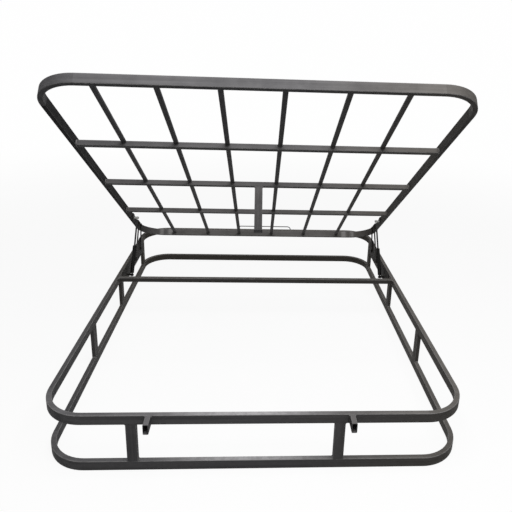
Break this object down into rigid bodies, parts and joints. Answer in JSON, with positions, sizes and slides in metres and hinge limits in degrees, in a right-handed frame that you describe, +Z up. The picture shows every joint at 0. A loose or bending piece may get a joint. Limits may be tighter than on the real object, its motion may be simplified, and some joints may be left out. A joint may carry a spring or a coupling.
{
  "type": "gas lift bed frame",
  "caption": "Open steel tube bed base with rounded corners and a slatted platform that lifts from its foot end on a gas spring linkage.",
  "frame": {"origin": "centre of the whole frame's outline at floor level, with the platform raised as stored", "axes": "+X across the bed to the right seen from its foot, +Y from the foot to the head, +Z up"},
  "size_m": [1.6, 2.05, 1.4137],
  "materials": {
    "frame_paint": "semi-gloss charcoal paint",
    "gear_steel": "satin dark paint",
    "cylinder_black": "gloss black",
    "rod_steel": "polished",
    "stop_wire": "satin grey",
    "cap_plastic": "matt"
  },
  "bodies": {
    "base_frame": {"base_plate_left": "gear_steel", "base_plate_right": "gear_steel", "crossbar": "frame_paint", "front_post_left": "frame_paint", "front_post_right": "frame_paint", "front_stub_left": "frame_paint", "front_stub_right": "frame_paint", "lower_corner_bends": "frame_paint", "lower_front_rail": "frame_paint", "lower_left_rail": "frame_paint", "lower_rear_rail": "frame_paint", "lower_right_rail": "frame_paint", "side_posts_left": "frame_paint", "side_posts_right": "frame_paint", "upper_corner_bends": "frame_paint", "upper_front_rail": "frame_paint", "upper_left_rail": "frame_paint", "upper_rear_rail": "frame_paint", "upper_right_rail": "frame_paint"},
    "front_arms": {"front_arm_left": "gear_steel", "front_arm_right": "gear_steel"},
    "lifting_platform": {"centre_leg": "frame_paint", "cross_bar_front": "frame_paint", "cross_bar_middle": "frame_paint", "cross_bar_rear": "frame_paint", "leg_cap": "cap_plastic", "mattress_stop": "stop_wire", "platform_corner_bends": "frame_paint", "platform_front_rail": "frame_paint", "platform_left_rail": "frame_paint", "platform_plates_left": "gear_steel", "platform_plates_right": "gear_steel", "platform_rear_rail": "frame_paint", "platform_right_rail": "frame_paint", "slat_1": "frame_paint", "slat_2": "frame_paint", "slat_3": "frame_paint", "slat_4": "frame_paint", "slat_5": "frame_paint", "slat_6": "frame_paint"},
    "rear_arms": {"rear_arm_left": "gear_steel", "rear_arm_right": "gear_steel"},
    "gas_cylinders": {"gas_cylinder_left": "cylinder_black", "gas_cylinder_right": "cylinder_black"},
    "gas_rods": {"gas_rod_left": "rod_steel", "gas_rod_right": "rod_steel"}
  },
  "joints": [
    {"name": "lift", "type": "hinge", "parent": "base_frame", "child": "front_arms", "pos_m": [0, 0.57053, 0.18928], "axis": [1, 0, 0], "range_deg": [-37.36, 0]},
    {"name": "platform_tilt", "type": "hinge", "parent": "front_arms", "child": "lifting_platform", "pos_m": [0, 0.70143, 0.38445], "axis": [1, 0, 0], "range_deg": [0, 72.4]},
    {"name": "rear_arm_swing", "type": "hinge", "parent": "base_frame", "child": "rear_arms", "pos_m": [0, 0.71781, 0.2018], "axis": [1, 0, 0], "range_deg": [-49.4, 0]},
    {"name": "spring_swing", "type": "hinge", "parent": "base_frame", "child": "gas_cylinders", "pos_m": [0, 0.37, 0.17], "axis": [1, 0, 0], "range_deg": [-36.45, 0]},
    {"name": "rod_slide", "type": "slide", "parent": "gas_cylinders", "child": "gas_rods", "axis": [0, 0.5882, 0.8087], "range_m": [-0.0652, 0]}
  ],
  "couplings": [
    {"joint": "platform_tilt", "follows": "lift", "ratio": -1.937},
    {"joint": "rear_arm_swing", "follows": "lift", "ratio": 1.3213},
    {"joint": "spring_swing", "follows": "lift", "ratio": 0.97424},
    {"joint": "rod_slide", "follows": "lift", "m_per_rad": 0.099805}
  ]
}
